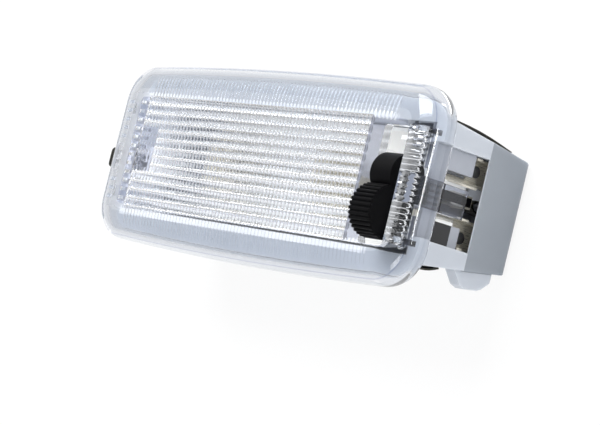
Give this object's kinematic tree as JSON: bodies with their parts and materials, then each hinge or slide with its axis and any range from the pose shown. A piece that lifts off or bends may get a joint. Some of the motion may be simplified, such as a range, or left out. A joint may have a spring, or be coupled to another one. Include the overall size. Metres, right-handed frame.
{
  "type": "car interior light",
  "caption": "Clip-in car roof light with a clear ribbed lens, a hollow pale housing, a festoon bulb and a black three-position rocker switch.",
  "frame": {"origin": "centre of the housing's flat back face", "axes": "+X along the light towards the switch end, +Y across it away from the snap tab, +Z out of the lens towards the cabin"},
  "size_m": [0.1186, 0.046, 0.0412],
  "materials": {
    "lens": "clear gloss plastic",
    "housing": "moulded satin",
    "reflector": "white",
    "bulb_glass": "clear",
    "bulb_metal": "plated",
    "filament": "dull",
    "brass": "plated strip",
    "black_plastic": "moulded",
    "carrier": "moulded",
    "steel": "spring steel"
  },
  "bodies": {
    "lamp_body": {"lens": "lens", "housing": "housing", "reflector": "reflector", "bulb_glass": "bulb_glass", "bulb_cap_left": "bulb_metal", "bulb_cap_right": "bulb_metal", "bulb_filament": "filament", "bulb_contact_left": "brass", "bulb_contact_right": "brass", "feed_strip": "brass", "rocker_pin": "steel", "switch_carrier": "carrier", "contact_upper": "brass", "contact_lower": "brass", "detent_spring": "steel", "side_spring_upper": "steel", "side_spring_lower": "steel", "rivets": "bulb_metal", "carrier_screws": "steel"},
    "switch_rocker": {"rocker": "black_plastic", "moving_contact": "brass"},
    "panel_clip": {"retaining_clip": "steel"}
  },
  "joints": [
    {"name": "rocker_tilt", "type": "hinge", "parent": "lamp_body", "child": "switch_rocker", "pos_m": [0.0481, -0.001, 0.0292], "axis": [1, 0, 0], "range_deg": [-8, 8]},
    {"name": "clip_flex", "type": "hinge", "parent": "lamp_body", "child": "panel_clip", "pos_m": [-0.0523, -0.002, 0.00475], "axis": [0, 1, 0], "range_deg": [0, 4.5], "stiffness_Nm_per_rad": 0.3}
  ]
}
